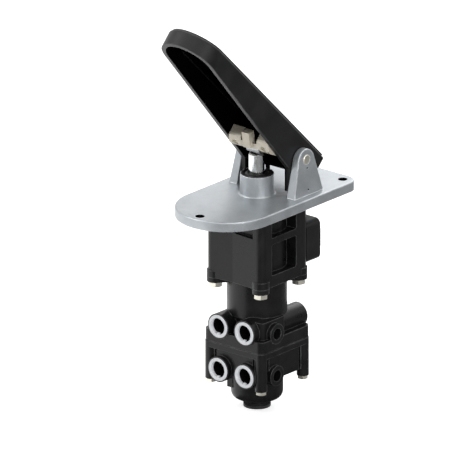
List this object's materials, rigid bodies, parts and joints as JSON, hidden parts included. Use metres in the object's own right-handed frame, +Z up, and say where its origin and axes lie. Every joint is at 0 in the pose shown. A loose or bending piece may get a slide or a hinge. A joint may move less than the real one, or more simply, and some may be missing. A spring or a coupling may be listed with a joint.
{
  "type": "truck foot brake valve",
  "caption": "Floor-mounted treadle air brake valve with light plate, hinged black treadle, plunger lever, ported two-stage valve bodies and exhaust.",
  "frame": {"origin": "where the plunger's axis meets the underside of the mounting plate", "axes": "+X to the treadle's toe, +Y to the small side ports, +Z up along the plunger"},
  "size_m": [0.2251, 0.1044, 0.4292],
  "materials": {
    "plate_aluminium": "satin cast",
    "black_casting": "cast, painted satin black",
    "black_plastic": "matt black",
    "rubber": "matt black",
    "lever_zinc": "pale passivated zinc",
    "bright_steel": "hard chromed",
    "pale_zinc": "pale zinc",
    "plain_steel": "ground",
    "inner_aluminium": "machined",
    "bronze": "plain",
    "valve_plastic": "plain"
  },
  "bodies": {
    "valve": {"mounting_plate": "plate_aluminium", "pivot_pin": "pale_zinc", "guide_bush": "bronze", "plunger_boot": "rubber", "spacer_housing": "black_casting", "switch_housing": "black_plastic", "switch_cover": "black_plastic", "cover_screws": "pale_zinc", "upper_valve_body": "black_casting", "body_gasket": "rubber", "lower_valve_body": "black_casting", "upper_right_port_insert": "pale_zinc", "upper_left_port_insert": "pale_zinc", "lower_right_port_insert": "pale_zinc", "lower_left_port_insert": "pale_zinc", "housing_bolts": "pale_zinc", "body_bolts": "pale_zinc", "primary_valve_guide": "valve_plastic", "relay_valve_guide": "valve_plastic", "exhaust_silencer": "black_plastic", "exhaust_flap": "rubber", "graduating_spring": "rubber", "primary_return_spring": "plain_steel", "relay_return_spring": "plain_steel", "primary_valve_spring": "plain_steel", "relay_valve_spring": "plain_steel"},
    "treadle": {"treadle": "black_casting", "tread_pad": "rubber", "pivot_bushes": "bronze", "pressure_lever": "lever_zinc", "lever_screws": "pale_zinc", "roller_pin": "plain_steel"},
    "roller": {"roller": "plain_steel"},
    "plunger": {"plunger": "bright_steel", "spring_cup": "plain_steel"},
    "primary_piston": {"primary_piston": "inner_aluminium", "primary_piston_ring": "rubber"},
    "primary_valve": {"primary_valve": "valve_plastic"},
    "relay_piston": {"relay_piston": "inner_aluminium", "relay_piston_ring": "rubber"},
    "relay_valve": {"relay_valve": "valve_plastic"}
  },
  "joints": [
    {"name": "treadle_pivot", "type": "hinge", "parent": "valve", "child": "treadle", "pos_m": [-0.029, 0, 0.047], "axis": [0, 1, 0], "range_deg": [0, 20], "stiffness_Nm_per_rad": 20, "springref_deg": -17.19},
    {"name": "roller_spin", "type": "hinge", "parent": "treadle", "child": "roller", "pos_m": [0.001, 0, 0.0604], "axis": [0, 1, 0], "continuous": true},
    {"name": "plunger_slide", "type": "slide", "parent": "valve", "child": "plunger", "axis": [0, 0, -1], "range_m": [0, 0.01124], "deforming": ["graduating_spring"]},
    {"name": "primary_piston_slide", "type": "slide", "parent": "valve", "child": "primary_piston", "axis": [0, 0, -1], "range_m": [0, 0.0031], "deforming": ["primary_return_spring"]},
    {"name": "primary_valve_slide", "type": "slide", "parent": "valve", "child": "primary_valve", "axis": [0, 0, -1], "range_m": [0, 0.0031], "deforming": ["primary_valve_spring"]},
    {"name": "relay_piston_slide", "type": "slide", "parent": "valve", "child": "relay_piston", "axis": [0, 0, -1], "range_m": [0, 0.0026], "deforming": ["relay_return_spring"]},
    {"name": "relay_valve_slide", "type": "slide", "parent": "valve", "child": "relay_valve", "axis": [0, 0, -1], "range_m": [0, 0.0026], "deforming": ["relay_valve_spring"]}
  ],
  "couplings": [
    {"joint": "plunger_slide", "follows": "treadle_pivot", "m_per_rad": 0.03191},
    {"joint": "primary_piston_slide", "follows": "treadle_pivot", "m_per_rad": 0.008594},
    {"joint": "primary_valve_slide", "follows": "treadle_pivot", "m_per_rad": 0.008594},
    {"joint": "relay_piston_slide", "follows": "treadle_pivot", "m_per_rad": 0.007162},
    {"joint": "relay_valve_slide", "follows": "treadle_pivot", "m_per_rad": 0.007162}
  ]
}
